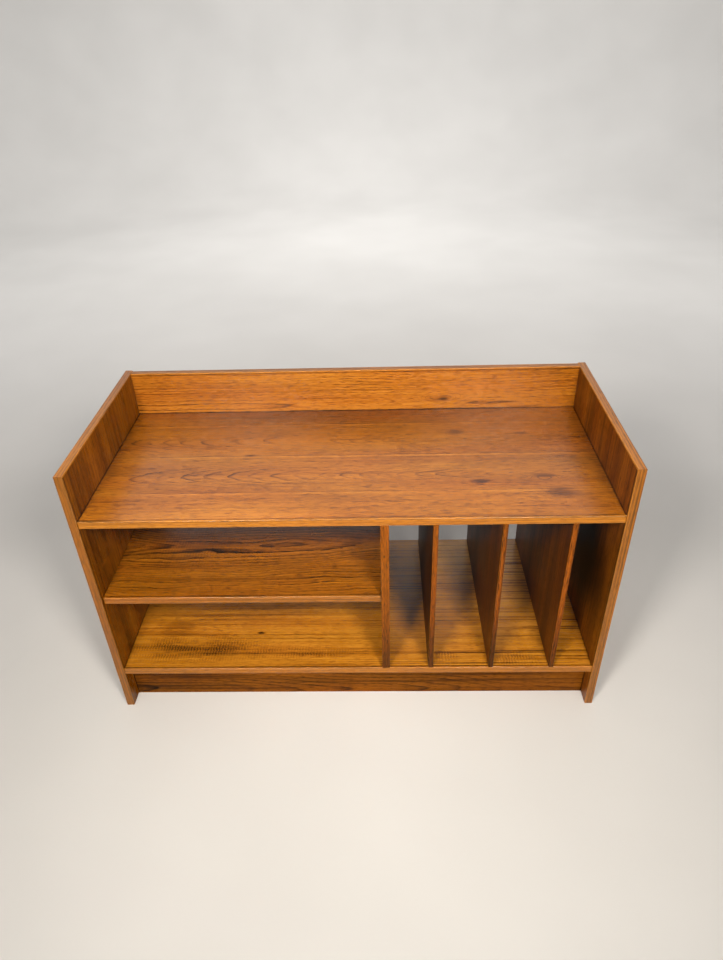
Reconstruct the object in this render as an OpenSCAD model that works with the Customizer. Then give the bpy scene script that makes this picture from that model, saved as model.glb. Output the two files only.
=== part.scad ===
// Low teak record and hi-fi cabinet: two cheeks that rise above the top, a rear
// upstand, an open back, a two-level bay on the left and a record bay on the right.
// Millimetres. +X to the right, +Y to the back, +Z up. The origin is on the floor,
// under the middle of the case.

/* [Case] */
// Width over the two sides
case_w = 1000; // [800:10:1400]
// Depth over the sides
case_d = 420; // [340:10:520]
// Height of the sides
case_h = 595; // [480:5:720]
// Thickness of the veneered boards
board_t = 16; // [13:0.5:22]
// Height of the sides above the top board's upper face
tray_h = 99; // [60:1:140]
// How far the top, bottom, partition and dividers stand back from the sides' front edge
front_setback = 3.5; // [0:0.5:10]

/* [Edges] */
// Depth of the solid lippings glued to the shown edges
lip_t = 4; // [2:0.5:8]
// Radius of the eased arrises on the lippings
arris_r = 1.2; // [0.4:0.1:1.8]
// How far the upstand's lipping ends below the top of the sides
upstand_drop = 1.5; // [0:0.5:5]

/* [Plinth] */
// Height of the plinth boards, from the floor to the bottom board
plinth_h = 94; // [50:1:130]
// Distance of each plinth board from the sides' front or back edge
plinth_setback = 33; // [10:1:60]

/* [Record bay] */
// Clear width from the partition to the right side
record_bay_w = 413; // [330:1:500]
// Distance between the middles of neighbouring dividers
divider_pitch = 123; // [95:1:150]
// Thickness of the dividers
divider_t = 10; // [8:0.5:14]
// Depth of the grooves that hold the dividers
groove_d = 4; // [2:0.5:5]
// How far the grooves stop behind the boards' front edge
groove_stop = 14; // [10:1:30]

/* [Shelf] */
// Height of the middle shelf's upper face above the bottom board's upper face
shelf_rise = 197; // [120:1:240]
// How far the middle shelf stands back from the sides' front and back edges
shelf_setback = 8; // [3:0.5:20]
// Gap at each end of the middle shelf
shelf_end_gap = 1; // [0.5:0.1:2]

/* [Fittings] */
// Diameter of the dowels
dowel_d = 8; // [6:1:10]
// Length of the dowels
dowel_l = 35; // [30:1:40]
// Wood left behind a dowel that enters a board's face
dowel_skin = 5.5; // [3:0.5:8]
// Distance of the outer dowels from a board's edges
dowel_inset = 45; // [25:1:60]
// Diameter of the shelf pins' shanks
pin_d = 5; // [4:0.5:6]
// Diameter of the part of the pins that carries the shelf
pin_head_d = 7; // [6:0.5:9]
// Depth of the pin holes
pin_hole_depth = 9; // [6:0.5:11]
// Length of the part of the pins that carries the shelf
pin_head_l = 9; // [7:0.5:12]
// Distance of the shelf pins from the sides' front and back edges
pin_inset = 48; // [30:1:80]

/* [Hidden] */

// Colours
veneer = "#B8742F";
lipping = "#CF8F4C";
beech = "#DDBE90";
nickel = "#BDBBB2";

// Clearances: glue film round a dowel, spare depth past its end, the running gap
// of a loose board, and the gap between the shelf and its pins
glue_gap = 0.05;
dowel_spare = 0.5;
slide_gap = 0.3;
pin_gap = 0.3;
dowel_chamfer = 1;
arris_step = 15; // degrees between the points of a rounded arris
round_fn = 48;

// Places of the faces, from the outside in
front_y = -case_d / 2;
back_y = case_d / 2;
inner_x = case_w / 2 - board_t;
board_front_y = front_y + front_setback;
core_front_y = board_front_y + lip_t;
side_core_front_y = front_y + lip_t;
side_core_h = case_h - lip_t;
top_upper_z = case_h - tray_h;
top_under_z = top_upper_z - board_t;
bottom_upper_z = plinth_h + board_t;
upstand_front_y = back_y - board_t;
upstand_h = case_h - upstand_drop - lip_t;
partition_right_x = inner_x - record_bay_w;
partition_left_x = partition_right_x - board_t;
record_mid_x = (partition_right_x + inner_x) / 2;
divider_xs = [for (i = [-1 : 1]) record_mid_x + i * divider_pitch];
shelf_upper_z = bottom_upper_z + shelf_rise;
shelf_under_z = shelf_upper_z - board_t;
shelf_front_y = front_y + shelf_setback;
shelf_back_y = back_y - shelf_setback;
shelf_left_x = -inner_x + shelf_end_gap;
shelf_right_x = partition_left_x - shelf_end_gap;
pin_z = shelf_under_z - pin_gap - pin_head_d / 2;
front_plinth_y = front_y + plinth_setback;
rear_plinth_y = back_y - plinth_setback - board_t;

// Where the dowels sit: three along a board's end, two up a short board's end, and
// four along a long edge, in the left bay and in the middle record slots, so that
// none of them meets a divider's groove
dowel_bite = board_t - dowel_skin;
dowel_reach = dowel_l - dowel_bite;
left_bay_w = partition_left_x + inner_x;
edge_dowel_xs = [
    -inner_x + left_bay_w * 0.25, -inner_x + left_bay_w * 0.75,
    record_mid_x - divider_pitch / 2, record_mid_x + divider_pitch / 2
];
top_dowel_ys = three_between(core_front_y + dowel_inset, upstand_front_y - dowel_inset);
bottom_dowel_ys = three_between(core_front_y + dowel_inset, back_y - dowel_inset);
partition_dowel_ys = three_between(core_front_y + dowel_inset, back_y - dowel_inset);
upstand_dowel_zs = [top_upper_z + (upstand_h - top_upper_z) * 0.25, top_upper_z + (upstand_h - top_upper_z) * 0.75];
plinth_dowel_zs = [plinth_h * 0.25, plinth_h * 0.6];

top_points = end_points(top_dowel_ys, [top_upper_z - board_t / 2]);
bottom_points = end_points(bottom_dowel_ys, [bottom_upper_z - board_t / 2]);
upstand_end_points = end_points([upstand_front_y + board_t / 2], upstand_dowel_zs);
front_plinth_end_points = end_points([front_plinth_y + board_t / 2], plinth_dowel_zs);
rear_plinth_end_points = end_points([rear_plinth_y + board_t / 2], plinth_dowel_zs);
upstand_edge_points = [for (x = edge_dowel_xs) [x, upstand_front_y, top_upper_z - board_t / 2]];
front_plinth_edge_points = [for (x = edge_dowel_xs) [x, front_plinth_y + board_t / 2, plinth_h]];
rear_plinth_edge_points = [for (x = edge_dowel_xs) [x, rear_plinth_y + board_t / 2, plinth_h]];
partition_x = partition_left_x + board_t / 2;
partition_top_points = [for (y = partition_dowel_ys) [partition_x, y, top_under_z]];
partition_foot_points = [for (y = partition_dowel_ys) [partition_x, y, bottom_upper_z]];

// Turns that point a dowel's end half away from the board whose face it enters
to_right = [0, 90, 0];
to_left = [0, -90, 0];
to_front = [90, 0, 0];
downwards = [180, 0, 0];
upwards = [0, 0, 0];

function three_between(a, b) = [a, (a + b) / 2, b];

// Points on the right side's inner face; the left side's are their mirror image
function end_points(ys, zs) = [for (y = ys, z = zs) [inner_x, y, z]];

// A square-edged board between two opposite corners
module board(low, high) {
    translate(low) cube(high - low);
}

// Section of a lipping: glued along x = 0, shown at x = -lip_t, with two eased arrises
module lipping_section(width) {
    polygon(concat(
        [[0, 0]],
        [for (a = [0 : arris_step : 90]) [arris_r - lip_t - arris_r * sin(a), arris_r - arris_r * cos(a)]],
        [for (a = [0 : arris_step : 90]) [arris_r - lip_t - arris_r * cos(a), width - arris_r + arris_r * sin(a)]],
        [[0, width]]
    ));
}

// A lipping on a front edge that runs along X, from its lowest left glued corner
module lipping_along_x(corner, width, length) {
    translate(corner) rotate([90, 0, 90]) linear_extrude(length) lipping_section(width);
}

// A lipping on a front edge that runs up, from its lowest right glued corner
module lipping_upwards(corner, width, length) {
    translate(corner) rotate([0, 0, 90]) linear_extrude(length) lipping_section(width);
}

// Half-space wedge on the mitre between a side's front and top lippings
module mitre_wedge(above) {
    size = 4 * lip_t;
    translate([0, front_y, case_h]) rotate([-45, 0, 0])
        translate([-case_w, -size / 2, above ? 0 : -size]) cube([2 * case_w, size, size]);
}

// One hole for a dowel: it enters a face by the bite and an end by the reach
module dowel_hole(point, turn) {
    translate(point) rotate(turn) translate([0, 0, -dowel_bite - dowel_spare])
        cylinder(d = dowel_d + 2 * glue_gap, h = dowel_l + 2 * dowel_spare, $fn = round_fn);
}

module dowel_holes(points, turn) {
    for (p = points) dowel_hole(p, turn);
}

// One dowel with chamfered ends
module dowel(point, turn) {
    translate(point) rotate(turn) translate([0, 0, -dowel_bite]) {
        cylinder(d1 = dowel_d - 2 * dowel_chamfer, d2 = dowel_d, h = dowel_chamfer, $fn = round_fn);
        translate([0, 0, dowel_chamfer])
            cylinder(d = dowel_d, h = dowel_l - 2 * dowel_chamfer, $fn = round_fn);
        translate([0, 0, dowel_l - dowel_chamfer])
            cylinder(d1 = dowel_d, d2 = dowel_d - 2 * dowel_chamfer, h = dowel_chamfer, $fn = round_fn);
    }
}

module dowels(points, turn) {
    for (p = points) dowel(p, turn);
}

// Dowels, or with holes their holes, at both ends of a board between the sides
module end_dowels(points) {
    dowels(points, to_left);
    mirror([1, 0, 0]) dowels(points, to_left);
}

module end_dowel_holes(points) {
    dowel_holes(points, to_left);
    mirror([1, 0, 0]) dowel_holes(points, to_left);
}

// Shelf pins: a shank in the board and a thicker head under the shelf
module shelf_pin(point, turn) {
    translate(point) rotate(turn) {
        translate([0, 0, slide_gap - pin_hole_depth])
            cylinder(d = pin_d, h = pin_hole_depth - slide_gap, $fn = round_fn);
        cylinder(d = pin_head_d, h = pin_head_l - dowel_chamfer, $fn = round_fn);
        translate([0, 0, pin_head_l - dowel_chamfer])
            cylinder(d1 = pin_head_d, d2 = pin_head_d - dowel_chamfer, h = dowel_chamfer, $fn = round_fn);
    }
}

module shelf_pin_hole(point, turn) {
    translate(point) rotate(turn) translate([0, 0, -pin_hole_depth])
        cylinder(d = pin_d + 2 * glue_gap, h = 2 * pin_hole_depth, $fn = round_fn);
}

function pin_points(x) = [for (y = [front_y + pin_inset, back_y - pin_inset]) [x, y, pin_z]];

// Right-hand side without the left side's pin holes
module side_core() {
    difference() {
        board([inner_x, side_core_front_y, 0], [case_w / 2, back_y, side_core_h]);
        dowel_holes(top_points, to_left);
        dowel_holes(bottom_points, to_left);
        dowel_holes(upstand_end_points, to_left);
        dowel_holes(front_plinth_end_points, to_left);
        dowel_holes(rear_plinth_end_points, to_left);
    }
}

module side_front_lipping() {
    difference() {
        lipping_upwards([case_w / 2, side_core_front_y, 0], board_t, case_h);
        mitre_wedge(true);
    }
}

module side_top_lipping() {
    difference() {
        translate([inner_x, back_y, side_core_h]) rotate([90, 90, 0])
            linear_extrude(case_d) lipping_section(board_t);
        mitre_wedge(false);
    }
}

module left_side() {
    color(veneer) difference() {
        mirror([1, 0, 0]) side_core();
        for (p = pin_points(-inner_x)) shelf_pin_hole(p, to_right);
    }
}

module left_side_front_lipping() {
    color(lipping) mirror([1, 0, 0]) side_front_lipping();
}

module left_side_top_lipping() {
    color(lipping) mirror([1, 0, 0]) side_top_lipping();
}

module right_side() {
    color(veneer) side_core();
}

module right_side_front_lipping() {
    color(lipping) side_front_lipping();
}

module right_side_top_lipping() {
    color(lipping) side_top_lipping();
}

// Grooves for the dividers, cut upwards and downwards from z, stopped at the front
// and open at the back
module divider_grooves(z) {
    groove_w = divider_t + 2 * slide_gap;
    for (x = divider_xs)
        translate([x - groove_w / 2, board_front_y + groove_stop, z - groove_d])
            cube([groove_w, case_d, 2 * groove_d]);
}

module top_board() {
    color(veneer) difference() {
        board([-inner_x, core_front_y, top_under_z], [inner_x, upstand_front_y, top_upper_z]);
        end_dowel_holes(top_points);
        dowel_holes(partition_top_points, downwards);
        dowel_holes(upstand_edge_points, to_front);
        divider_grooves(top_under_z);
    }
}

module top_lipping() {
    color(lipping) lipping_along_x([-inner_x, core_front_y, top_under_z], board_t, 2 * inner_x);
}

module bottom_board() {
    color(veneer) difference() {
        board([-inner_x, core_front_y, plinth_h], [inner_x, back_y, bottom_upper_z]);
        end_dowel_holes(bottom_points);
        dowel_holes(partition_foot_points, upwards);
        dowel_holes(front_plinth_edge_points, downwards);
        dowel_holes(rear_plinth_edge_points, downwards);
        divider_grooves(bottom_upper_z);
    }
}

module bottom_lipping() {
    color(lipping) lipping_along_x([-inner_x, core_front_y, plinth_h], board_t, 2 * inner_x);
}

module partition() {
    color(veneer) difference() {
        board([partition_left_x, core_front_y, bottom_upper_z], [partition_right_x, back_y, top_under_z]);
        dowel_holes(partition_top_points, downwards);
        dowel_holes(partition_foot_points, upwards);
        for (p = pin_points(partition_left_x)) shelf_pin_hole(p, to_left);
    }
}

module partition_lipping() {
    color(lipping)
        lipping_upwards([partition_right_x, core_front_y, bottom_upper_z], board_t, top_under_z - bottom_upper_z);
}

// Rear upstand: it stands behind the top board and closes the tray at the back
module upstand() {
    color(veneer) difference() {
        board([-inner_x, upstand_front_y, top_under_z], [inner_x, back_y, upstand_h]);
        end_dowel_holes(upstand_end_points);
        dowel_holes(upstand_edge_points, to_front);
        divider_grooves(top_under_z);
    }
}

module upstand_lipping() {
    color(lipping) translate([-inner_x, upstand_front_y, upstand_h]) rotate([0, 90, 0])
        linear_extrude(2 * inner_x) lipping_section(board_t);
}

module plinth_board(y, end_points, edge_points) {
    color(veneer) difference() {
        board([-inner_x, y, 0], [inner_x, y + board_t, plinth_h]);
        end_dowel_holes(end_points);
        dowel_holes(edge_points, downwards);
    }
}

module front_plinth() {
    plinth_board(front_plinth_y, front_plinth_end_points, front_plinth_edge_points);
}

module rear_plinth() {
    plinth_board(rear_plinth_y, rear_plinth_end_points, rear_plinth_edge_points);
}

// Loose shelf, which lies on four pins
module middle_shelf() {
    color(veneer)
        board([shelf_left_x, shelf_front_y + lip_t, shelf_under_z], [shelf_right_x, shelf_back_y, shelf_upper_z]);
}

module middle_shelf_lipping() {
    color(lipping)
        lipping_along_x([shelf_left_x, shelf_front_y + lip_t, shelf_under_z], board_t, shelf_right_x - shelf_left_x);
}

// Loose divider: its top and bottom edges run in the grooves, behind a notch that
// hides their stopped ends
module record_divider(i) {
    low_z = bottom_upper_z + slide_gap;
    high_z = top_under_z - slide_gap;
    tongue = groove_d;
    notch_y = board_front_y + groove_stop + slide_gap;
    color(veneer) {
        board(
            [divider_xs[i] - divider_t / 2, core_front_y, low_z],
            [divider_xs[i] + divider_t / 2, back_y, high_z]
        );
        board(
            [divider_xs[i] - divider_t / 2, notch_y, low_z - tongue],
            [divider_xs[i] + divider_t / 2, back_y, high_z + tongue]
        );
    }
}

module record_divider_lipping(i) {
    low_z = bottom_upper_z + slide_gap;
    high_z = top_under_z - slide_gap;
    color(lipping)
        lipping_upwards([divider_xs[i] + divider_t / 2, core_front_y, low_z], divider_t, high_z - low_z);
}

module shelf_pins() {
    color(nickel) {
        for (p = pin_points(-inner_x)) shelf_pin(p, to_right);
        for (p = pin_points(partition_left_x)) shelf_pin(p, to_left);
    }
}

module top_dowels() {
    color(beech) end_dowels(top_points);
}

module bottom_dowels() {
    color(beech) end_dowels(bottom_points);
}

module partition_dowels() {
    color(beech) {
        dowels(partition_top_points, downwards);
        dowels(partition_foot_points, upwards);
    }
}

module upstand_dowels() {
    color(beech) {
        end_dowels(upstand_end_points);
        dowels(upstand_edge_points, to_front);
    }
}

module front_plinth_dowels() {
    color(beech) {
        end_dowels(front_plinth_end_points);
        dowels(front_plinth_edge_points, downwards);
    }
}

module rear_plinth_dowels() {
    color(beech) {
        end_dowels(rear_plinth_end_points);
        dowels(rear_plinth_edge_points, downwards);
    }
}

left_side();
left_side_front_lipping();
left_side_top_lipping();
right_side();
right_side_front_lipping();
right_side_top_lipping();
top_board();
top_lipping();
bottom_board();
bottom_lipping();
partition();
partition_lipping();
upstand();
upstand_lipping();
front_plinth();
rear_plinth();
middle_shelf();
middle_shelf_lipping();
record_divider(0);  // record_divider_1
record_divider(1);  // record_divider_2
record_divider(2);  // record_divider_3
record_divider_lipping(0);  // record_divider_1_lipping
record_divider_lipping(1);  // record_divider_2_lipping
record_divider_lipping(2);  // record_divider_3_lipping
shelf_pins();
top_dowels();
bottom_dowels();
partition_dowels();
upstand_dowels();
front_plinth_dowels();
rear_plinth_dowels();
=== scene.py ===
"""Teak record cabinet: veneered boards, solid lippings with eased arrises, loose shelf and dividers.

Lengths in the geometry are metres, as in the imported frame. Lengths in the wood's
patterns are millimetres.
"""
import math

import bpy
from mathutils import Matrix, Vector


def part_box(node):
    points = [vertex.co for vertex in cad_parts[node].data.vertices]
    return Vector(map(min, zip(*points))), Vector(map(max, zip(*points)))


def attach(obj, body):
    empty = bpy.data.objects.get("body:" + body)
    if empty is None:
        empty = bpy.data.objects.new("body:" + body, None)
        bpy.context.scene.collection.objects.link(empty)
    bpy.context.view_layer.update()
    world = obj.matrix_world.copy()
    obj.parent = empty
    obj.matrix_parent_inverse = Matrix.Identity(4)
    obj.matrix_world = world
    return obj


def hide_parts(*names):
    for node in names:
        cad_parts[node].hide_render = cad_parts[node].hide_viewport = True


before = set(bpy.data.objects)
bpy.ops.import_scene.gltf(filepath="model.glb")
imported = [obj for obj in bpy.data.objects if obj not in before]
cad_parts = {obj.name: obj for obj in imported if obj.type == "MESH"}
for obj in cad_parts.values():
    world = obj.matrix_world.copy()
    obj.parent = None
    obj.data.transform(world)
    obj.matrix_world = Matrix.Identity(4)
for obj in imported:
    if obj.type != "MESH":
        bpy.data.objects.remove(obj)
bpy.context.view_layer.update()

MM = 0.001


# ---------------------------------------------------------------- nodes and colours

def fill(tree, node, inputs):
    """Gives a node's sockets their values or their links."""
    for key, value in inputs.items():
        if isinstance(value, bpy.types.NodeSocket):
            tree.links.new(value, node.inputs[key])
        else:
            node.inputs[key].default_value = value


def add(tree, kind, inputs=None, out=0, **settings):
    """Adds a node with its settings, values and links, and returns one of its outputs."""
    node = tree.nodes.new(kind)
    for key, value in settings.items():
        setattr(node, key, value)
    fill(tree, node, inputs or {})
    return node.outputs[out]


def calc(tree, operation, *values):
    """A sum on one to three numbers."""
    return add(tree, "ShaderNodeMath", dict(enumerate(values)), operation=operation)


def calc_vector(tree, operation, *values, out=0):
    """A sum on one to three vectors."""
    return add(tree, "ShaderNodeVectorMath", dict(enumerate(values)), out, operation=operation)


def scaled(tree, vector, factor):
    """A vector made longer by a factor."""
    return add(tree, "ShaderNodeVectorMath", {0: vector, "Scale": factor}, operation="SCALE")


def combined(tree, x=0.0, y=0.0, z=0.0):
    """A vector of three numbers."""
    return add(tree, "ShaderNodeCombineXYZ", {0: x, 1: y, 2: z})


def remap(tree, value, low, high, to_low, to_high, ease="LINEAR"):
    """Stretches the span from low to high onto to_low to to_high, and goes no further than its ends."""
    return add(tree, "ShaderNodeMapRange", {
        0: value, 1: low, 2: high, 3: to_low, 4: to_high,
    }, interpolation_type=ease)


def noise(tree, place, scale, detail, roughness=0.5):
    """Noise from 0 to 1."""
    return add(tree, "ShaderNodeTexNoise", {
        "Vector": place, "Scale": scale, "Detail": detail, "Roughness": roughness,
    })


def swing(tree, unrest, amount, base=0.0):
    """Turns noise from 0 to 1 into base plus or minus half of amount."""
    return calc(tree, "MULTIPLY_ADD", unrest, amount, base - amount / 2)


def linear(hex_colour):
    """An sRGB hex colour as linear RGBA."""
    channels = [int(hex_colour[i:i + 2], 16) / 255 for i in (1, 3, 5)]
    return [c / 12.92 if c <= 0.04045 else ((c + 0.055) / 1.055) ** 2.4 for c in channels] + [1.0]


def ramp(tree, value, stops):
    """A colour ramp, its stops given as pairs of a place and a hex colour or a grey."""
    colour = add(tree, "ShaderNodeValToRGB", {0: value})
    elements = colour.node.color_ramp.elements
    while len(elements) < len(stops):
        elements.new(1.0)
    for element, (place, shade) in zip(elements, stops):
        element.position = place
        element.color = linear(shade) if isinstance(shade, str) else [shade] * 3 + [1.0]
    return colour


def blend(tree, share, first, second):
    """Goes from the first colour to the second as share goes from 0 to 1."""
    return add(tree, "ShaderNodeMix", {"Factor": share, 6: first, 7: second}, out=2, data_type="RGBA")


def between(tree, share, first, second):
    """Goes from the first number to the second as share goes from 0 to 1."""
    return add(tree, "ShaderNodeMix", {"Factor": share, 2: first, 3: second})


def new_material(name):
    """A new material, with its node tree and its one shader."""
    material = bpy.data.materials.new(name)
    material.use_nodes = True
    tree = material.node_tree
    return material, tree, tree.nodes["Principled BSDF"]


# ---------------------------------------------------------------- teak

# Lacquered teak from its darkest late wood to its palest sapwood streak
GOLDEN = [
    (0.0, "#1B0D02"), (0.25, "#4C2A05"), (0.45, "#7D4A0B"),
    (0.62, "#A86A17"), (0.8, "#C6892B"), (1.0, "#DAA84E"),
]
RUSSET = [
    (0.0, "#1A0A02"), (0.25, "#481D04"), (0.45, "#793808"),
    (0.62, "#A15512"), (0.8, "#BF722A"), (1.0, "#D39249"),
]
RUBBED_AND_HIGHLIGHT = "#D4923A"     # an arris that handling has rubbed pale, and a painted highlight on its rounding
VENEER = 0.7           # thickness of the veneer, which shows as a fine line on a raw edge, mm
CORE_ROUGHNESS = 0.85  # raw chipboard
PORE = 1.4             # width that pores are drawn at, so that the real 0.2 mm shows across a room, mm
JOINT = 1.6            # width that joints between leaves are drawn at, for a real 0.1 mm, mm
STRIPE = 8.0           # width of the paler stripe beside such a joint, mm
STRIPE_OFF = 4.5       # how far its middle lies from the joint, mm
BAR = 6.0              # distance between the bars of cross-mottled figure, mm
FROM_HEART = 310.0     # how far from the log's heart the outermost leaves were cut, mm
CORNER_SHADE_AND_DUST = 0.3      # darkness along joints and in inside corners: dust, thick lacquer and painted shade

# each board's noises have a stretch of their own, and each noise has its own place in it
SEED_STEP = 37.3
STRAY, BOW, RIPPLE, DASHES, BROAD, FIBRE, COARSE, STREAK, PORES, UNREST, BLUSH, CLOUD, BOLD = range(1, 14)

PLAIN = {
    "tone": 0.62,       # middle of the wood's tone, 0 dark to 1 pale
    "redness": 0.4,     # share of the russet tones
    "heart": 0.0,       # where the middle of the log lies across the grain, mm
    "pith": 60.0,       # how far under the face the pith runs at along = 0, mm
    "rise": -0.07,      # how fast the pith nears the face along the grain
    "spacing": 5.0,     # distance between growth rings, mm
    "rings": 0.30,      # how dark the growth rings are
    "late": 0.3,        # share of each ring that is dark late wood
    "wander": 9.0,      # how far the grain strays sideways, mm
    "wave": 240.0,      # length of one such stray, mm
    "bow": 14.0,        # how far the pith strays up and down, mm
    "ripple": 0.5,      # small unevenness of the rings, in rings
    "broad": 0.22,      # difference between broad light and dark bands
    "band": 45.0,       # width of those bands, mm
    "streaks": 0.18,    # darkness of the long mineral streaks
    "streak_w": 9.0,    # width of those streaks, mm
    "fibre": 0.26,      # contrast of the fine fibre
    "coarse": 0.22,     # contrast of the bundles of fibre, some 6 mm wide
    "pores": 0.16,      # darkness of the open pores
    "leaf": None,       # width of a leaf of veneer, where the face is jointed from several, mm
    "seam": 0.0,        # where one joint between leaves lies, mm
    "slip": 60.0,       # how far the figure moves along from one leaf to the next, mm
    "joint": 0.0,       # how much the joints between leaves show
    "gloss": 0.30,      # roughness of the lacquer
    "shine": 0.5,       # specular level of the lacquer
    "rub_and_highlight": 0.36,        # how pale the arrises are painted: rubbed by handling, and a painted highlight
    "inward": 0,        # which way a board's inner face looks, 0 where both faces are alike
    # ovals on the face: (along, across, reach along, reach across, ...), mm
    "streaky": [],      # ... gain: places where the mineral streaks are darker
    "knots": [],        # ... rings, darkness: places where rings crowd round a knot
    "fiddle": [],       # ... strength: cross-mottled places
    "marks_and_painted_light": [],      # ... darkness: places darker than the rest, or paler where it is negative: marks in the wood, painted shade and painted light
}
KNOT_CORE = (0.55, 0.6)  # share of a knot's reach, along and across, that is dark itself


def part_of(wood, way):
    """The wood's place along the grain (way 0) or across it (way 1)."""
    return wood.node.inputs[way].links[0].from_socket


def in_grain(tree, wood, length, width, offset, detail=2.0, roughness=0.5):
    """Noise from 0 to 1 whose patches are length mm along the grain and width mm across it."""
    squeeze = (1 / length, 1 / width, 1 / width)
    place = calc_vector(tree, "MULTIPLY_ADD", wood, squeeze, (offset, 1.7 * offset, 2.3 * offset))
    return noise(tree, place, 1.0, detail, roughness)


def fading_spot(tree, wood, along, across, reach_along, reach_across):
    """1 in the middle of an oval on the face, falling smoothly to 0 at its edge."""
    away = calc_vector(tree, "SUBTRACT", wood, (along, across, 0))
    away = calc_vector(tree, "MULTIPLY", away, (1 / reach_along, 1 / reach_across, 0))
    distance = calc_vector(tree, "LENGTH", away, out=1)
    return remap(tree, distance, 0.0, 1.0, 1.0, 0.0, "SMOOTHERSTEP")


def leaf_by_leaf(tree, along, across, figure):
    """Where in the log each leaf was cut: all show one figure, slipped along from leaf to
    leaf, and the outermost leaves come from far out, where the grain is straight."""
    leaf, seam = figure["leaf"], figure["seam"]
    side = calc(tree, "WRAP", across, seam, seam + leaf)
    side = calc(tree, "SUBTRACT", side, seam + leaf / 2)
    order = calc(tree, "MULTIPLY_ADD", across, 1 / leaf, -seam / leaf)
    order = calc(tree, "FLOOR", order)
    along = calc(tree, "MULTIPLY_ADD", order, figure["slip"], along)
    outermost = calc(tree, "ABSOLUTE", calc(tree, "ADD", order, 0.5))
    outermost = calc(tree, "GREATER_THAN", outermost, 1.0)
    side = calc(tree, "MULTIPLY_ADD", outermost, FROM_HEART, side)
    return along, side


def leaf_joints(tree, wood, figure):
    """Where two leaves of veneer meet: a dark hairline, with a paler stripe along one side of it."""
    leaf, seam = figure["leaf"], figure["seam"]
    off = calc(tree, "WRAP", part_of(wood, 1), seam - leaf / 2, seam + leaf / 2)
    off = calc(tree, "SUBTRACT", off, seam)
    away = calc(tree, "ABSOLUTE", off)
    hairline = remap(tree, away, JOINT / 4, 3 * JOINT / 4, -0.26, 0.0)
    stripe = calc(tree, "ABSOLUTE", calc(tree, "ADD", off, STRIPE_OFF))
    stripe = remap(tree, stripe, 0.2 * STRIPE, 0.5 * STRIPE, 0.06, 0.0, "SMOOTHSTEP")
    both = calc(tree, "ADD", hairline, stripe)
    return calc(tree, "MULTIPLY", both, figure["joint"])


def count_rings(tree, wood, figure, offset):
    """How many growth rings lie between a place on the face and the pith of the log."""
    along, side = part_of(wood, 0), part_of(wood, 1)
    if figure["leaf"]:
        along, side = leaf_by_leaf(tree, along, side, figure)
    side = calc(tree, "SUBTRACT", side, figure["heart"])
    stray = in_grain(tree, wood, figure["wave"], 60, offset + STRAY, detail=0.5)
    side = calc(tree, "MULTIPLY_ADD", stray, figure["wander"], side)
    depth = calc(tree, "MULTIPLY_ADD", along, figure["rise"], figure["pith"])
    bow = in_grain(tree, wood, 330, 90, offset + BOW, detail=0.5)
    depth = calc(tree, "MULTIPLY_ADD", bow, figure["bow"], depth)
    square = calc(tree, "MULTIPLY", side, side)
    square = calc(tree, "MULTIPLY_ADD", depth, depth, square)
    radius = calc(tree, "SQRT", square)
    ripple = swing(tree, in_grain(tree, wood, 150, 14, offset + RIPPLE), figure["ripple"])
    count = calc(tree, "MULTIPLY_ADD", radius, 1 / figure["spacing"], ripple)
    for *oval, rings, _ in figure["knots"]:
        spot = fading_spot(tree, wood, *oval)
        count = calc(tree, "MULTIPLY_ADD", spot, rings, count)
    return count


def growth_rings(tree, wood, figure, offset):
    """Dark late-wood lines, one to a ring, which arch where the face nears the pith."""
    count = count_rings(tree, wood, figure, offset)
    year = calc(tree, "FLOOR", count)
    strength = add(tree, "ShaderNodeTexWhiteNoise", {"W": year}, noise_dimensions="1D")
    strength = remap(tree, strength, 0.15, 1.0, 0.25, 1.0)
    # pale early wood, then late wood that darkens and stops sharply at the year's end
    early = 1 - figure["late"]
    line = ramp(tree, calc(tree, "FRACT", count), [
        (0.0, 0.4), (0.05, 0.0), (early, 0.05), (0.4 * early + 0.6, 0.45), (0.96, 1.0), (1.0, 0.4),
    ])
    line = calc(tree, "MULTIPLY", line, strength)
    # the lines are rows of open pores, so that they break up into short dashes along the grain
    dashes = in_grain(tree, wood, 20, 1.7, offset + DASHES)
    line = calc(tree, "MULTIPLY", line, remap(tree, dashes, 0.36, 0.58, 0.3, 1.25))
    # the figure is bold in some places and faint in others
    bold = in_grain(tree, wood, 300, 70, offset + BOLD, detail=1.0)
    return calc(tree, "MULTIPLY", line, remap(tree, bold, 0.36, 0.62, 0.4, 1.3))


def mineral_streaks(tree, wood, figure, offset):
    """Long, straight streaks, as a darkening."""
    streak = in_grain(tree, wood, 640, figure["streak_w"], offset + STREAK, detail=1.0)
    streak = remap(tree, streak, 0.54, 0.7, 0.0, -figure["streaks"])
    for *oval, gain in figure["streaky"]:
        spot = fading_spot(tree, wood, *oval)
        spot = calc(tree, "MULTIPLY_ADD", spot, gain, 1.0)
        streak = calc(tree, "MULTIPLY", streak, spot)
    return streak


def cross_mottle(tree, wood, figure, offset):
    """Short bars across the grain, where the fibres rise and dip along it, as a darkening."""
    unrest = in_grain(tree, wood, 17, 5, offset + UNREST, detail=1.0)
    wave = calc(tree, "MULTIPLY", part_of(wood, 0), 2 * math.pi / BAR)
    wave = calc(tree, "MULTIPLY_ADD", unrest, 8.0, wave)
    wave = calc(tree, "SINE", wave)
    wave = calc(tree, "MULTIPLY_ADD", wave, 0.35, -0.35)  # from -0.7 on a bar to 0 between bars
    cloud = in_grain(tree, wood, 60, 11, offset + CLOUD)
    bars = calc(tree, "MULTIPLY", wave, remap(tree, cloud, 0.34, 0.66, 0.0, 1.0))
    mottled = 0.0
    for *oval, strength in figure["fiddle"]:
        mottled = calc(tree, "MULTIPLY_ADD", fading_spot(tree, wood, *oval), strength, mottled)
    return calc(tree, "MULTIPLY", bars, mottled)


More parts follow.
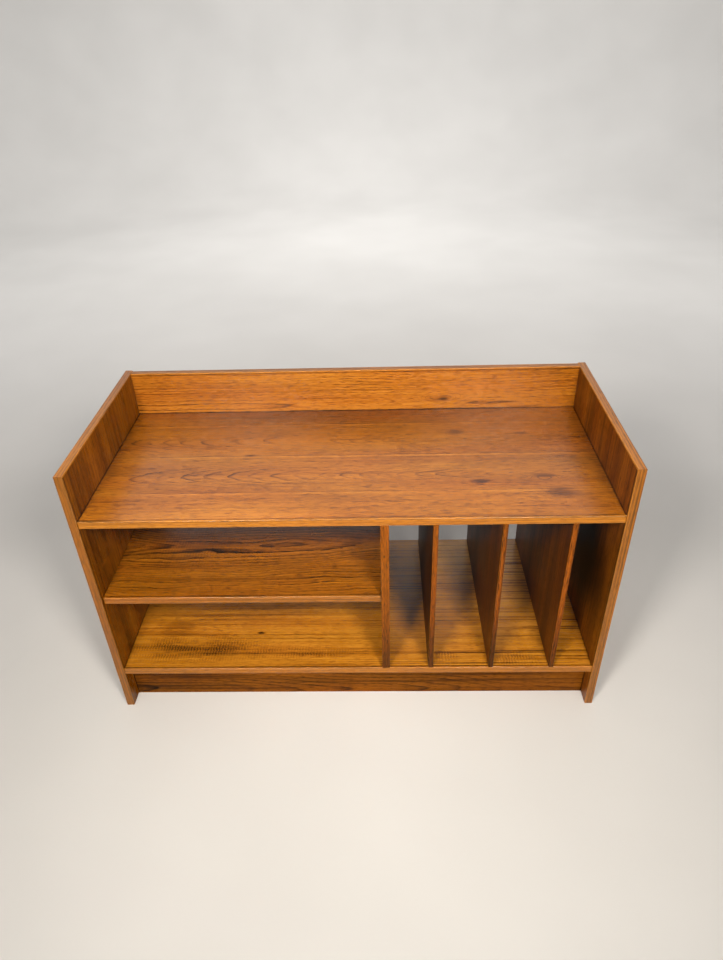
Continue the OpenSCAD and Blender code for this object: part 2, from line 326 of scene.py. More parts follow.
def teak_tone(tree, wood, figure, offset):
    """The wood's tone, 0 dark to 1 pale, and its fine relief, lowest in a pore."""
    broad = in_grain(tree, wood, 520, figure["band"], offset + BROAD)
    tone = swing(tree, broad, 2 * figure["broad"], figure["tone"])
    fibre = in_grain(tree, wood, 60, 1.3, offset + FIBRE, detail=3.0, roughness=0.66)
    tone = calc(tree, "ADD", tone, swing(tree, fibre, figure["fibre"]))
    coarse = in_grain(tree, wood, 190, 6, offset + COARSE)
    tone = calc(tree, "ADD", tone, swing(tree, coarse, figure["coarse"]))
    tone = calc(tree, "ADD", tone, mineral_streaks(tree, wood, figure, offset))
    rings = growth_rings(tree, wood, figure, offset)
    tone = calc(tree, "MULTIPLY_ADD", rings, -figure["rings"], tone)
    pore = in_grain(tree, wood, 17, PORE, offset + PORES, detail=1.0)
    pore = remap(tree, pore, 0.54, 0.68, 0.0, 1.0)
    tone = calc(tree, "MULTIPLY_ADD", pore, -figure["pores"], tone)
    for along, across, reach_along, reach_across, _, darkness in figure["knots"]:
        core = (KNOT_CORE[0] * reach_along, KNOT_CORE[1] * reach_across)
        spot = fading_spot(tree, wood, along, across, *core)
        tone = calc(tree, "MULTIPLY_ADD", spot, -darkness, tone)
    if figure["fiddle"]:
        tone = calc(tree, "ADD", tone, cross_mottle(tree, wood, figure, offset))
    if figure["leaf"]:
        tone = calc(tree, "ADD", tone, leaf_joints(tree, wood, figure))
    relief = calc(tree, "MULTIPLY_ADD", pore, -0.6, fibre)
    return tone, relief


def chipboard(tree, place):
    """Pressed flakes, as a raw sawn edge shows them: pale, tan and brown chips a few mm long."""
    chips = calc_vector(tree, "MULTIPLY", place, (0.3, 0.3, 0.55))
    cells = add(tree, "ShaderNodeTexVoronoi", {"Vector": chips, "Scale": 1.0}, out="Color")
    shade = add(tree, "ShaderNodeSeparateColor", {0: cells})
    shade = calc(tree, "MULTIPLY", shade, 0.6)
    grit = noise(tree, place, 0.8, 3.0)
    shade = calc(tree, "MULTIPLY_ADD", grit, 0.45, shade)
    return ramp(tree, shade, [(0.15, "#6E4A28"), (0.5, "#A27A4B"), (0.8, "#BE9A68"), (1.0, "#D0B487")])


def teak(name, grain, across, thickness, seed, board=None, joints=(), **choices):
    """Satin nitrocellulose lacquer on teak: the grain runs along one axis, warm and
    golden with darker rings, open pores and a soft gloss. A board's raw edges show the
    chipboard between two lines of veneer. A solid strip's arrises are painted pale: the rub of handling,
    and a painted highlight. Joints and inside corners are painted darker: dust, and painted shade."""
    figure = {**PLAIN, **choices}
    offset = SEED_STEP * seed
    material, tree, shader = new_material(name)
    object_place = add(tree, "ShaderNodeTexCoord", out="Object")
    place = scaled(tree, object_place, 1 / MM)
    axes = add(tree, "ShaderNodeSeparateXYZ", {0: place}).node.outputs
    # both veneers of a board show one figure, but the figure runs through a solid strip
    depth = 0.0 if board else axes[thickness]
    wood = combined(tree, axes[grain], axes[across], depth)
    tone, relief = teak_tone(tree, wood, figure, offset)

    inner = 1.0  # 1 on a face that takes dust and painted shade, 0 on an outer face
    if board:
        low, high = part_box(board)
        k = "XYZ".index(thickness)
        middle = (low[k] + high[k]) / 2 / MM
        half = (high[k] - low[k]) / 2 / MM
        from_middle = calc(tree, "SUBTRACT", axes[thickness], middle)
        if figure["inward"]:
            inner = calc(tree, "MULTIPLY", from_middle, figure["inward"])
            inner = calc(tree, "GREATER_THAN", inner, 0.0)
    # joints and inside corners darken: dust and thick lacquer, and painted shade where the boards meet
    for axis, corner, reach in joints:
        off = calc(tree, "ABSOLUTE", calc(tree, "SUBTRACT", axes[axis], corner))
        shade_and_dust = remap(tree, off, 0.0, reach, -CORNER_SHADE_AND_DUST, 0.0, "SMOOTHSTEP")
        tone = calc(tree, "MULTIPLY_ADD", shade_and_dust, inner, tone)
    # marks in the wood, and painted shade and painted light
    for *oval, darkness in figure["marks_and_painted_light"]:
        patch = calc(tree, "MULTIPLY", fading_spot(tree, wood, *oval), -darkness)
        tone = calc(tree, "MULTIPLY_ADD", patch, inner, tone)

    blush = swing(tree, in_grain(tree, wood, 380, 60, offset + BLUSH), 0.9, figure["redness"])
    colour = blend(tree, blush, ramp(tree, tone, GOLDEN), ramp(tree, tone, RUSSET))
    handled = noise(tree, place, 0.012, 3.0)
    gloss = swing(tree, handled, 0.09, figure["gloss"])
    gloss = calc(tree, "MULTIPLY_ADD", relief, -0.05, gloss)
    if board:
        core = calc(tree, "LESS_THAN", calc(tree, "ABSOLUTE", from_middle), half - VENEER)
        colour = blend(tree, core, colour, chipboard(tree, place))
        gloss = between(tree, core, gloss, CORE_ROUGHNESS)
    else:
        # the strips carry an attribute that is 1 on their shown arrises, where the colour is painted pale:
        # the rub of handling, and a painted highlight
        rub_and_highlight = add(tree, "ShaderNodeAttribute", out="Fac", attribute_name="rub_and_highlight")
        colour = blend(tree, calc(tree, "MULTIPLY", rub_and_highlight, figure["rub_and_highlight"]), colour, linear(RUBBED_AND_HIGHLIGHT))
    bump = add(tree, "ShaderNodeBump", {"Strength": 0.25, "Distance": 0.1 * MM, "Height": relief})
    fill(tree, shader, {
        "Base Color": colour, "Roughness": gloss, "Normal": bump, "IOR": 1.5,
        "Specular IOR Level": figure["shine"],
    })
    return material


def beech():
    """Plain turned beech for the dowels: pale, faintly flecked, unfinished."""
    material, tree, shader = new_material("beech, unfinished")
    place = add(tree, "ShaderNodeTexCoord", out="Object")
    fleck = noise(tree, scaled(tree, place, 900.0), 1.0, 2.0)
    colour = ramp(tree, fleck, [(0.3, "#B98F5C"), (0.7, "#DDBE90")])
    fill(tree, shader, {"Base Color": colour, "Roughness": 0.7})
    return material


def nickel():
    """Nickel plate on turned steel pins: warm grey, lightly dulled by handling."""
    material, tree, shader = new_material("nickel plate")
    place = add(tree, "ShaderNodeTexCoord", out="Object")
    cloud = noise(tree, place, 400.0, 3.0)
    colour = ramp(tree, cloud, [(0.3, "#9C988D"), (0.7, "#C6C3BA")])
    fill(tree, shader, {"Base Color": colour, "Roughness": swing(tree, cloud, 0.2, 0.32), "Metallic": 1.0})
    return material


# ---------------------------------------------------------------- veneered boards

side_low, side_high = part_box("left_side")
upstand_low, upstand_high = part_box("upstand")
top_low, top_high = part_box("top_board")
bottom_low, bottom_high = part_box("bottom_board")
partition_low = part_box("partition")[0]
shelf_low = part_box("middle_shelf")[0]

# where the boards meet in an inside corner: (axis, place, reach of the dust and painted shade), mm
inner_x = -side_high.x / MM
AT_SIDES = [("X", -inner_x, 3), ("X", inner_x, 3)]
ON_FLOOR = ("Z", bottom_high.z / MM, 3)
SIDE_JOINTS = [("Z", top_high.z / MM, 3), ON_FLOOR, ("Y", side_low.y / MM, 3)]

# which way a board's grain runs, and which way the board lies
LEVEL = dict(grain="X", across="Y", thickness="Z")
ON_EDGE = dict(grain="X", across="Z", thickness="Y")
UPRIGHT = dict(grain="Z", across="Y", thickness="X")
DIVIDER = dict(
    UPRIGHT, gloss=0.45, shine=0.2, redness=0.6, streaks=0.08, fibre=0.2, coarse=0.14,
    # painted shade on a divider's upper rear corner, where the light hardly reaches
    marks_and_painted_light=[(470, 220, 180, 220, 0.3)])

VENEERS = {
    "top_board": dict(
        LEVEL, seed=1, tone=0.61, redness=0.4, leaf=127.0, seam=7.0, slip=52.0, joint=0.7,
        pith=22.0, rise=-0.075, spacing=3.1, rings=0.62, late=0.24, wander=16.0, bow=12.0,
        ripple=0.8, broad=0.1, streaks=0.05, streak_w=5.0, fibre=0.32, coarse=0.12, pores=0.22,
        joints=AT_SIDES + [("Y", upstand_low.y / MM, 4), ("Y", top_low.y / MM, 3)],
        knots=[
            (245, -92, 56, 18, 3.5, 0.3), (368, -76, 60, 20, 4, 0.24), (348, 84, 46, 15, 3, 0.22),
            (213, 92, 50, 22, 2, 0.24), (388, -130, 90, 44, 1, 0.2),
        ],
        # a small mark and a pale line along the middle joint; painted shade along the rear and at both
        # ends; painted light at the front left
        marks_and_painted_light=[
            (-206, 9, 18.7, 5.4, 0.3), (0, 215, 825, 162, 0.17), (520, 0, 181.5, 300, 0.12),
            (-520, 60, 126.5, 240, 0.12), (-250, -200, 308, 108, -0.12), (0, 3, 935, 4.8, -0.1),
        ]),
    "upstand": dict(
        ON_EDGE, seed=2, tone=0.67, redness=0.45, pith=14.0, rise=0.004, heart=520.0, spacing=5.6,
        rings=0.44, late=0.24, wander=18.0, bow=5.0, ripple=0.6, broad=0.1, fibre=0.36, coarse=0.1,
        streaks=0.08, pores=0.24,
        joints=[("Z", top_high.z / MM, 3), ("Z", upstand_high.z / MM, 3)],
        knots=[(190, 522, 80, 20, 5, 0.12)],
        marks_and_painted_light=[(196, 521, 16.5, 5.4, 0.34)]),
    "middle_shelf": dict(
        LEVEL, seed=3, tone=0.53, redness=0.25, pith=34.0, rise=0.05, heart=-30.0, spacing=6.4,
        rings=0.56, late=0.5, wander=30.0, wave=110.0, bow=26.0, ripple=1.0, broad=0.1,
        streaks=0.06, fibre=0.28, coarse=0.14, pores=0.22,
        joints=[("Y", shelf_low.y / MM, 3)],
        knots=[(-330, 20, 260, 200, 2, 0.06)],
        fiddle=[(-350, -20, 210, 180, 0.16)],
        # painted shade towards the rear, under the top board
        marks_and_painted_light=[(-60, 40, 385, 114, 0.11)]),
    "bottom_board": dict(
        LEVEL, seed=4, tone=0.67, redness=0.05, pith=30.0, rise=0.0, heart=-420.0, spacing=5.5,
        rings=0.28, wander=5.0, bow=4.0, ripple=0.7, broad=0.12, band=24.0, streaks=0.22,
        streak_w=3.4, fibre=0.36, coarse=0.26, pores=0.18,
        joints=AT_SIDES + [("Y", bottom_low.y / MM, 3)],
        streaky=[(300, -20, 420, 360, 1.2)],
        fiddle=[
            (-350, -152, 230, 54, 0.62), (-120, -165, 210, 28, 0.3), (335, -186, 70, 34, 0.4),
            (185, -178, 40, 26, 0.4),
        ],
        # a small mark, darker and paler places, painted shade at the rear of the left bay under the shelf,
        # and painted light at the rear of the record slots
        marks_and_painted_light=[
            (-209, -107, 13.2, 5.4, 0.6), (270, 150, 308, 180, -0.22), (-395, -90, 60.5, 39.6, 0.12),
            (-330, -154, 165, 27.6, 0.12), (-215, 0, 308, 102, 0.12), (340, -60, 181.5, 156, -0.08),
        ]),
    "left_side": dict(
        UPRIGHT, seed=5, shine=0.12, tone=0.47, redness=0.25, pith=30.0, rise=0.0, heart=500.0,
        spacing=11.0, rings=0.24, wander=8.0, bow=4.0, broad=0.2, band=26.0, streaks=0.12,
        streak_w=7.0, inward=1, joints=SIDE_JOINTS),
    "right_side": dict(
        UPRIGHT, seed=6, gloss=0.42, shine=0.12, tone=0.46, redness=0.5, pith=70.0, rise=0.04,
        heart=20.0, spacing=8.0, rings=0.16, broad=0.2, streaks=0.12, fibre=0.2, inward=-1,
        joints=SIDE_JOINTS,
        # painted shade on its lower part, inside the record slots, where the light hardly reaches
        marks_and_painted_light=[(290, 60, 200, 330, 0.74)]),
    # the partition's dark tone is partly its own and partly painted shade, as little light reaches its
    # faces
    "partition": dict(
        UPRIGHT, seed=7, gloss=0.42, shine=0.2, tone=0.24, redness=0.6, pith=80.0, rise=0.05,
        heart=60.0, spacing=9.0, rings=0.2, streaks=0.16,
        joints=[("Z", top_low.z / MM, 3), ON_FLOOR]),
    "front_plinth": dict(
        ON_EDGE, seed=8, shine=0.05, gloss=0.5, tone=0.4, redness=0.2, pith=30.0, rise=0.05,
        heart=20.0, spacing=6.0, rings=0.42, wander=20.0, bow=26.0, broad=0.2,
        joints=AT_SIDES + [("Z", bottom_low.z / MM, 4)]),
    "rear_plinth": dict(
        ON_EDGE, seed=9, shine=0.3, tone=0.42, redness=0.4, pith=50.0, rise=0.03, heart=40.0,
        spacing=6.0, rings=0.26, joints=AT_SIDES),
    # the dividers' dark tones are partly their own and partly painted shade of the narrow record slots
    "record_divider_1": dict(
        DIVIDER, seed=10, tone=0.26, pith=70.0, rise=0.05, heart=-60.0, spacing=8.0, rings=0.18),
    "record_divider_2": dict(
        DIVIDER, seed=11, tone=0.3, pith=60.0, rise=-0.05, heart=40.0, spacing=8.0, rings=0.18),
    "record_divider_3": dict(
        DIVIDER, seed=12, tone=0.34, pith=90.0, rise=0.04, heart=-20.0, spacing=9.0, rings=0.16),
}


def paint(node, material):
    """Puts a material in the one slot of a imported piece."""
    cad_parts[node].material_slots[0].material = material


for node, choices in VENEERS.items():
    paint(node, teak(f"lacquered teak veneer, {node}", board=node, **choices))

dowel_wood = beech()
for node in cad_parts:
    if node.endswith("_dowels"):
        paint(node, dowel_wood)


# ---------------------------------------------------------------- solid lippings

def node_group(name, sockets):
    """A Geometry Nodes tree with named inputs, and its Group Input node's outputs."""
    tree = bpy.data.node_groups.new(name, "GeometryNodeTree")
    tree.interface.new_socket("Base", in_out="INPUT", socket_type="NodeSocketGeometry")
    for label, kind in sockets:
        tree.interface.new_socket(label, in_out="INPUT", socket_type="NodeSocket" + kind)
    tree.interface.new_socket("Result", in_out="OUTPUT", socket_type="NodeSocketGeometry")
    return tree, tree.nodes.new("NodeGroupInput").outputs


def close_group(tree, geometry, material):
    """Ends a tree: its instances become one mesh in one material."""
    geometry = add(tree, "GeometryNodeRealizeInstances", {"Geometry": geometry})
    geometry = add(tree, "GeometryNodeSetMaterial", {"Geometry": geometry, "Material": material})
    tree.links.new(geometry, tree.nodes.new("NodeGroupOutput").inputs[0])


def from_group(name, tree, values):
    """Runs a Geometry Nodes tree once and returns a plain mesh object of its result."""
    piece = bpy.data.objects.new(name, bpy.data.meshes.new(name))
    bpy.context.scene.collection.objects.link(piece)
    modifier = piece.modifiers.new("build", "NODES")
    modifier.node_group = tree
    for item in tree.interface.items_tree:
        if item.in_out == "INPUT" and item.name in values:
            modifier[item.identifier] = values[item.name]
    evaluated = piece.evaluated_get(bpy.context.evaluated_depsgraph_get())
    mesh = bpy.data.meshes.new_from_object(evaluated)
    mesh.name = name
    piece.modifiers.clear()
    piece.data = mesh
    return piece


def eased_outline(tree, given):
    """The strip's section, glued along Y = 0: the two corners of its shown face are rounded."""
    half_depth = calc(tree, "MULTIPLY", given["Depth"], 0.5)
    outline = add(tree, "GeometryNodeCurvePrimitiveQuadrilateral", {0: given["Width"], 1: given["Depth"]})
    lift = combined(tree, y=half_depth)
    outline = add(tree, "GeometryNodeSetPosition", {"Geometry": outline, "Offset": lift})
    height = add(tree, "ShaderNodeSeparateXYZ", {0: add(tree, "GeometryNodeInputPosition")}, out=1)
    shown = calc(tree, "GREATER_THAN", height, half_depth)
    radius = calc(tree, "MULTIPLY", shown, given["Arris"])
    radius = calc(tree, "MAXIMUM", radius, GLUED_ARRIS)
    return add(tree, "GeometryNodeFilletCurve", {
        "Curve": outline, "Count": 6, "Radius": radius, "Limit Radius": True,
    }, mode="POLY")


def rounded_faces(tree):
    """Where the surface faces none of the three axes squarely."""
    facing = calc_vector(tree, "ABSOLUTE", add(tree, "GeometryNodeInputNormal"))
    facing = add(tree, "ShaderNodeSeparateXYZ", {0: facing}).node.outputs
    squarest = calc(tree, "MAXIMUM", facing[0], facing[1])
    squarest = calc(tree, "MAXIMUM", squarest, facing[2])
    return calc(tree, "LESS_THAN", squarest, 0.9985)


def lipping_group():
    """A solid strip glued along Z = 0, which runs along X: its two shown arrises are eased,
    a little unevenly, as sanding by hand leaves them, and one end can be mitred."""
    tree, given = node_group("Eased lipping", [
        ("Length", "Float"), ("Width", "Float"), ("Depth", "Float"), ("Arris", "Float"),
        ("Unevenness", "Float"), ("Mitre", "Float"), ("Seed", "Float"), ("Wood", "Material"),
    ])
    end = combined(tree, given["Length"])
    line = add(tree, "GeometryNodeCurvePrimitiveLine", {"Start": (0, 0, 0), "End": end})
    line = add(tree, "GeometryNodeResampleCurve", {"Curve": line, "Length": STRIP_STEP}, mode="LENGTH")
    line = add(tree, "GeometryNodeSetCurveNormal", {"Curve": line, "Normal": (0, 1, 0)}, mode="FREE")
    strip = add(tree, "GeometryNodeCurveToMesh", {
        "Curve": line, "Profile Curve": eased_outline(tree, given), "Fill Caps": True,
    })

    # how near a point is to the two shown arrises, 1 on them and 0 from a little past their rounding
    parts = add(tree, "ShaderNodeSeparateXYZ", {0: add(tree, "GeometryNodeInputPosition")}).node.outputs
    half_width = calc(tree, "MULTIPLY", given["Width"], 0.5)
    from_side = calc(tree, "SUBTRACT", half_width, calc(tree, "ABSOLUTE", parts[1]))
    from_face = calc(tree, "SUBTRACT", given["Depth"], parts[2])
    away = calc_vector(tree, "LENGTH", combined(tree, from_side, from_face), out=1)
    reach = calc(tree, "MULTIPLY", given["Arris"], 1.6)
    rub_and_highlight = remap(tree, away, 0.0, reach, 1.0, 0.0, "SMOOTHSTEP")
    # the material paints the colour pale by this nearness: the rub of handling, and a painted highlight
    strip = add(tree, "GeometryNodeStoreNamedAttribute", {
        "Geometry": strip, "Name": "rub_and_highlight", "Value": rub_and_highlight,
    }, data_type="FLOAT", domain="POINT")

    # sanding took off more wood in some places than in others
    wobble = add(tree, "ShaderNodeTexNoise", {
        "Scale": 26.0, "Detail": 2.0, "W": given["Seed"],
    }, noise_dimensions="4D")
    wobble = calc(tree, "MULTIPLY", wobble, given["Unevenness"])
    wobble = calc(tree, "MULTIPLY", wobble, rub_and_highlight)
    inwards = scaled(tree, add(tree, "GeometryNodeInputNormal"), -1.0)
    inwards = scaled(tree, inwards, wobble)
    strip = add(tree, "GeometryNodeSetPosition", {"Geometry": strip, "Offset": inwards})

    # the mitre shortens the strip evenly, by as much as a point lies behind the shown face
    share = calc(tree, "DIVIDE", parts[0], given["Length"])
    share = calc(tree, "MULTIPLY", share, given["Mitre"])
    back = calc(tree, "MULTIPLY", share, from_face)
    back = combined(tree, calc(tree, "MULTIPLY", back, -1.0))
    strip = add(tree, "GeometryNodeSetPosition", {"Geometry": strip, "Offset": back})
    strip = add(tree, "GeometryNodeSetShadeSmooth", {
        "Geometry": strip, "Shade Smooth": rounded_faces(tree),
    }, domain="FACE")
    close_group(tree, strip, given["Wood"])
    return tree


ARRIS = 1.4 * MM         # rounding of a shown arris
GLUED_ARRIS = 0.15 * MM  # rounding of an arris that meets the board
UNEVENNESS = 0.5 * MM    # how deep the sanding went past the rounding, at most
STRIP_STEP = 4 * MM      # distance between a strip's cross-sections
AXIS = {"X": Vector((1, 0, 0)), "Y": Vector((0, 1, 0)), "Z": Vector((0, 0, 1))}

QUARTER_SAWN = dict(
    pith=20.0, rise=0.0, heart=240.0, spacing=6.0, late=0.6, wander=3.0, bow=2.0, ripple=0.3, rings=0.6,
    broad=0.1, band=6.0, streaks=0.1, streak_w=4.0, gloss=0.36, shine=0.35)
# records sliding in and out have dulled the uprights' front edges and soiled them near the foot
FOOT = (90, 240, 231, 540, 0.26)
WORN = dict(rings=0.24, pores=0.3, shine=0.08, gloss=0.5, rub_and_highlight=0.12, marks_and_painted_light=[FOOT])
LIPPINGS = {
    # node: (body, way it runs, way its shown face looks, mitred end, figure)
    "top_lipping": ("case", "+X", "-Y", 0, dict(seed=21, tone=0.6, redness=0.25)),
    "bottom_lipping": ("case", "+X", "-Y", 0, dict(seed=22, tone=0.57, redness=0.25)),
    "middle_shelf_lipping": ("shelf", "+X", "-Y", 0, dict(seed=23, tone=0.51, redness=0.4)),
    "upstand_lipping": ("case", "+X", "+Z", 0, dict(seed=24, tone=0.6, redness=0.3)),
    "left_side_front_lipping": ("case", "+Z", "-Y", 1, dict(seed=25, tone=0.44, redness=0.3)),
    "right_side_front_lipping": ("case", "+Z", "-Y", 1, dict(seed=26, tone=0.52, redness=0.3)),
    "left_side_top_lipping": ("case", "-Y", "+Z", 1, dict(seed=27, tone=0.6, redness=0.3)),
    "right_side_top_lipping": ("case", "-Y", "+Z", 1, dict(seed=28, tone=0.6, redness=0.3)),
    "partition_lipping": ("case", "+Z", "-Y", 0, dict(
        WORN, seed=29, tone=0.45, redness=0.8, marks_and_painted_light=[FOOT, (409, 62, 5, 3, 0.4)])),
    "record_divider_1_lipping": ("divider_1", "+Z", "-Y", 0, dict(WORN, seed=30, tone=0.44, redness=0.9)),
    "record_divider_2_lipping": ("divider_2", "+Z", "-Y", 0, dict(
        WORN, seed=31, tone=0.44, redness=0.9, pores=0.34, marks_and_painted_light=[FOOT, (150, 278, 5.5, 3, 0.3)])),
    "record_divider_3_lipping": ("divider_3", "+Z", "-Y", 0, dict(WORN, seed=32, tone=0.46, redness=0.8)),
}


def direction(sign_and_axis):
    """The way that a sign and an axis name, such as -Y, as a vector."""
    return AXIS[sign_and_axis[1]] * (1 if sign_and_axis[0] == "+" else -1)


def lay_lipping(tree, node, body, run, face, mitre, choices):
    """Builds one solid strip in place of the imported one, in its box."""
    low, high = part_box(node)
    middle = (low + high) / 2
    half = (high - low) / 2
    along, out = direction(run), direction(face)
    wide = out.cross(along)
    wide_axis = "XYZ"[[abs(c) for c in wide].index(1.0)]
    length, width, depth = [2 * abs(half.dot(way)) for way in (along, wide, out)]
    start = middle - along * length / 2 - out * depth / 2
    wood = teak(
        f"lacquered solid teak, {node}", grain=run[1], across=wide_axis, thickness=face[1],
        **dict(QUARTER_SAWN, **choices))
    piece = from_group(node + "_strip", tree, {
        "Length": length, "Width": width, "Depth": depth, "Arris": ARRIS, "Unevenness": UNEVENNESS,
        "Mitre": float(mitre), "Seed": float(choices["seed"]), "Wood": wood,
    })
    turn = Matrix((along, wide, out)).transposed().to_4x4()
    piece.data.transform(Matrix.Translation(start) @ turn)
    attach(piece, body)
    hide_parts(node)


lipping_tree = lipping_group()
for node, (body, run, face, mitre, choices) in LIPPINGS.items():
    lay_lipping(lipping_tree, node, body, run, face, mitre, choices)


# ---------------------------------------------------------------- shelf pins

def pin_profile(tree, given):
    """A pin's turned outline, from the shank's end in the board to the head's end: the place
    along the pin and the radius at each point of a line."""

    def less_chamfer(size):
        return calc(tree, "SUBTRACT", size, given["Chamfer"])

    inner_end = calc(tree, "MULTIPLY", given["Shank length"], -1.0)
    inner_step = calc(tree, "ADD", inner_end, given["Chamfer"])
    step = calc(tree, "MULTIPLY", given["Chamfer"], 0.1)
    stations = [
        (inner_end, less_chamfer(given["Shank radius"])),
        (inner_step, given["Shank radius"]),
        (0.0, given["Shank radius"]),
        (step, less_chamfer(given["Head radius"])),
        (given["Chamfer"], given["Head radius"]),
        (less_chamfer(given["Head length"]), given["Head radius"]),
        (given["Head length"], less_chamfer(given["Head radius"])),
    ]
    index = add(tree, "GeometryNodeInputIndex")
    chosen = []
    for column in range(2):
        switch = tree.nodes.new("GeometryNodeIndexSwitch")
        switch.data_type = "FLOAT"
        for _ in range(len(stations) - 2):
            switch.index_switch_items.new()
        fill(tree, switch, {"Index": index})
        fill(tree, switch, {row + 1: station[column] for row, station in enumerate(stations)})
        chosen.append(switch.outputs[0])
    return len(stations), chosen[0], chosen[1]


def pin_group():
    """Four turned pins in a square: each has a shank in the board and a thicker head that
    the shelf lies on, with both ends chamfered, and the right-hand pair is turned round."""
    tree, given = node_group("Turned shelf pins", [
        ("Shank radius", "Float"), ("Shank length", "Float"), ("Head radius", "Float"),
        ("Head length", "Float"), ("Chamfer", "Float"), ("Left face", "Float"), ("Right face", "Float"),
        ("Front row", "Float"), ("Back row", "Float"), ("Height", "Float"), ("Metal", "Material"),
    ])
    count, along, radius = pin_profile(tree, given)
    line = add(tree, "GeometryNodeCurvePrimitiveLine")
    line = add(tree, "GeometryNodeResampleCurve", {"Curve": line, "Count": count}, mode="COUNT")
    line = add(tree, "GeometryNodeSetPosition", {"Geometry": line, "Position": combined(tree, along)})
    ring = add(tree, "GeometryNodeCurvePrimitiveCircle", {"Resolution": 32, "Radius": 1.0})
    pin = add(tree, "GeometryNodeCurveToMesh", {
        "Curve": line, "Profile Curve": ring, "Scale": radius, "Fill Caps": True,
    })

    # pins 0 and 1 stand in the left-hand board, 2 and 3 in the right-hand one
    number = add(tree, "GeometryNodeInputIndex")
    right = calc(tree, "GREATER_THAN", number, 1.0)
    back = calc(tree, "MODULO", number, 2.0)
    x = between(tree, right, given["Left face"], given["Right face"])
    y = between(tree, back, given["Front row"], given["Back row"])
    place = combined(tree, x, y, given["Height"])
    points = add(tree, "GeometryNodePoints", {"Count": 4, "Position": place})
    turn = combined(tree, z=calc(tree, "MULTIPLY", right, math.pi))
    pins = add(tree, "GeometryNodeInstanceOnPoints", {"Points": points, "Instance": pin, "Rotation": turn})
    close_group(tree, pins, given["Metal"])
    return tree


SHANK_RADIUS = 2.5 * MM
SHANK_LENGTH = 8.8 * MM  # how deep a pin reaches into its board
HEAD_RADIUS = 3.5 * MM
HEAD_LENGTH = 9 * MM     # how far a pin stands out under the shelf
PIN_CHAMFER = 0.5 * MM
pins_low, pins_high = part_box("shelf_pins")
pins = from_group("shelf_pins_turned", pin_group(), {
    "Shank radius": SHANK_RADIUS, "Shank length": SHANK_LENGTH,
    "Head radius": HEAD_RADIUS, "Head length": HEAD_LENGTH, "Chamfer": PIN_CHAMFER,
    "Left face": side_high.x, "Right face": partition_low.x,
    "Front row": pins_low.y + HEAD_RADIUS, "Back row": pins_high.y - HEAD_RADIUS,
    "Height": (pins_low.z + pins_high.z) / 2, "Metal": nickel(),
})
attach(pins, "case")
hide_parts("shelf_pins")


# ---------------------------------------------------------------- studio

HUB = 0.001      # radius of the small cap in the middle of the floor
FLAT = 4.2       # radius of the level floor
BEND = 1.8       # radius of its curve up into the wall
WALL = 6.5       # height of the wall
TURNS = 96       # points round the cove
BEND_STEPS = 12  # steps in that curve


def studio_paper():
    """Matt pale grey paper, faintly uneven, which runs from the floor up into the wall."""
    material, tree, shader = new_material("pale studio paper")
    place = add(tree, "ShaderNodeTexCoord", out="Object")
    cloud = noise(tree, place, 2.0, 2.0)
    colour = ramp(tree, cloud, [(0.3, "#C6C5C3"), (0.7, "#CCCBC9")])
    fill(tree, shader, {"Base Color": colour, "Roughness": 0.9})
    return material


def lay_cove():
    """The floor, curving up all round into a tall wall, so that no horizon shows."""
    outline = [(HUB, 0.0), (1.5, 0.0), (FLAT, 0.0)]
    for step in range(1, BEND_STEPS + 1):
        angle = math.radians(90 * step / BEND_STEPS)
        outline.append((FLAT + BEND * math.sin(angle), BEND - BEND * math.cos(angle)))
    outline.append((FLAT + BEND, WALL))
    corners = []
    for radius, height in outline:
        for turn in range(TURNS):
            angle = 2 * math.pi * turn / TURNS
            corners.append((radius * math.cos(angle), radius * math.sin(angle), height))
    faces = [tuple(range(TURNS))]
    for ring in range(len(outline) - 1):
        low, high = ring * TURNS, (ring + 1) * TURNS
        for turn in range(TURNS):
            after = (turn + 1) % TURNS
            faces.append((low + turn, high + turn, high + after, low + after))
    mesh = bpy.data.meshes.new("studio_cove")
    mesh.from_pydata(corners, [], faces)
    mesh.polygons.foreach_set("use_smooth", [True] * len(mesh.polygons))
    mesh.materials.append(studio_paper())
    cove = bpy.data.objects.new("studio_cove", mesh)
    bpy.context.scene.collection.objects.link(cove)


def softbox(name, place, target, size, watts, colour, spread=180.0):
    """A soft lamp that the lens doesn't see; a small spread is a grid that keeps its light narrow."""
    light = bpy.data.lights.new(name, "AREA")
    light.shape = "RECTANGLE"
    light.size, light.size_y = size
    light.energy = watts
    light.color = linear(colour)[:3]
    light.spread = math.radians(spread)
    lamp = bpy.data.objects.new(name, light)
    lamp.location = place
    lamp.rotation_euler = (Vector(target) - Vector(place)).to_track_quat("-Z", "Y").to_euler()
    lamp.visible_camera = False
    bpy.context.scene.collection.objects.link(lamp)


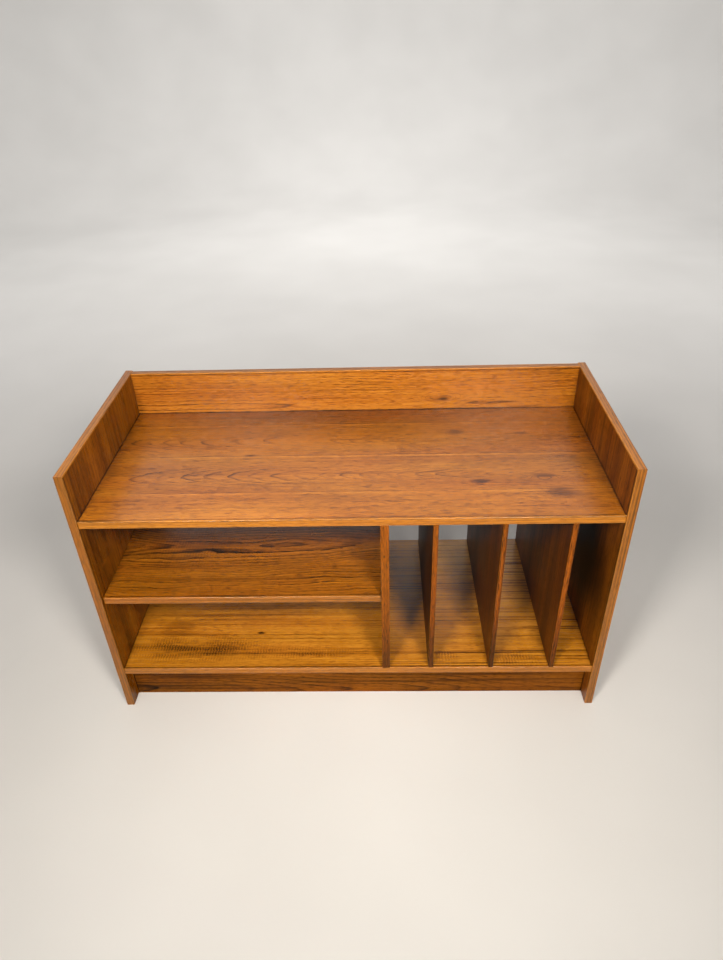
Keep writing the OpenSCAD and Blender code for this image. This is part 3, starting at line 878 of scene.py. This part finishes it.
def light_object():
    """Two softboxes in front, a weak ceiling panel, and a panel behind that lays a sheen on the top."""
    softbox("right softbox", (0.6, -1.5, 1.68), (0, -0.1, 0.35), (0.36, 0.36), 9.4, "#FFF7EC", spread=84)
    softbox("left softbox", (-0.58, -1.5, 1.68), (0, -0.1, 0.35), (0.36, 0.36), 9.2, "#FFF7EC", spread=84)
    softbox("ceiling panel", (0.0, -0.4, 2.8), (0, 0, 0.4), (2.0, 1.4), 4, "#FFF9F2")
    softbox("back panel", (0.0, 1.7, 1.7), (0, 0, 0.6), (3.6, 1.6), 15, "#F6F3F4")


def light_cove():
    """Six lamps in a ring, which look outwards and down at the cove, strongest behind the object."""
    ring, height = 2.7, 2.9
    further = 1.8  # how many times further out they look than they hang
    for bearing in range(30, 390, 60):
        x = ring * math.cos(math.radians(bearing))
        y = ring * math.sin(math.radians(bearing))
        watts = 90 if bearing == 90 else 48
        softbox(
            f"cove lamp {bearing}", (x, y, height), (further * x, further * y, 0.0), (1.6, 0.5), watts,
            "#FCFAF8", spread=150)


def light_room():
    """A faint warm light from all round."""
    world = bpy.data.worlds.new("studio")
    world.use_nodes = True
    background = world.node_tree.nodes["Background"]
    fill(world.node_tree, background, {"Color": linear("#EDE5DA"), "Strength": 0.14})
    bpy.context.scene.world = world


lay_cove()
light_object()
light_cove()
light_room()
bpy.context.scene.view_settings.view_transform = "Standard"


# ---------------------------------------------------------------- camera

LENS = 26.3                         # a phone's wide lens, as on a 36 mm frame
PAN, DOWN, ROLL = 2.1, 34.1, -1.93  # degrees
HAND = (0.061, -1.188, 1.244)       # where the lens is held


def place_camera():
    """A phone's wide lens, held above the front edge and looking down into the case."""
    camera = bpy.data.objects.new("camera", bpy.data.cameras.new("camera"))
    camera.data.sensor_width = 36.0
    camera.data.lens = LENS
    camera.data.clip_end = 60.0
    turn = Matrix.Rotation(math.radians(PAN), 4, "Z")
    tilt = Matrix.Rotation(math.radians(90 - DOWN), 4, "X")
    roll = Matrix.Rotation(math.radians(ROLL), 4, "Z")
    camera.matrix_world = Matrix.Translation(HAND) @ turn @ tilt @ roll
    bpy.context.scene.collection.objects.link(camera)
    bpy.context.scene.camera = camera


place_camera()
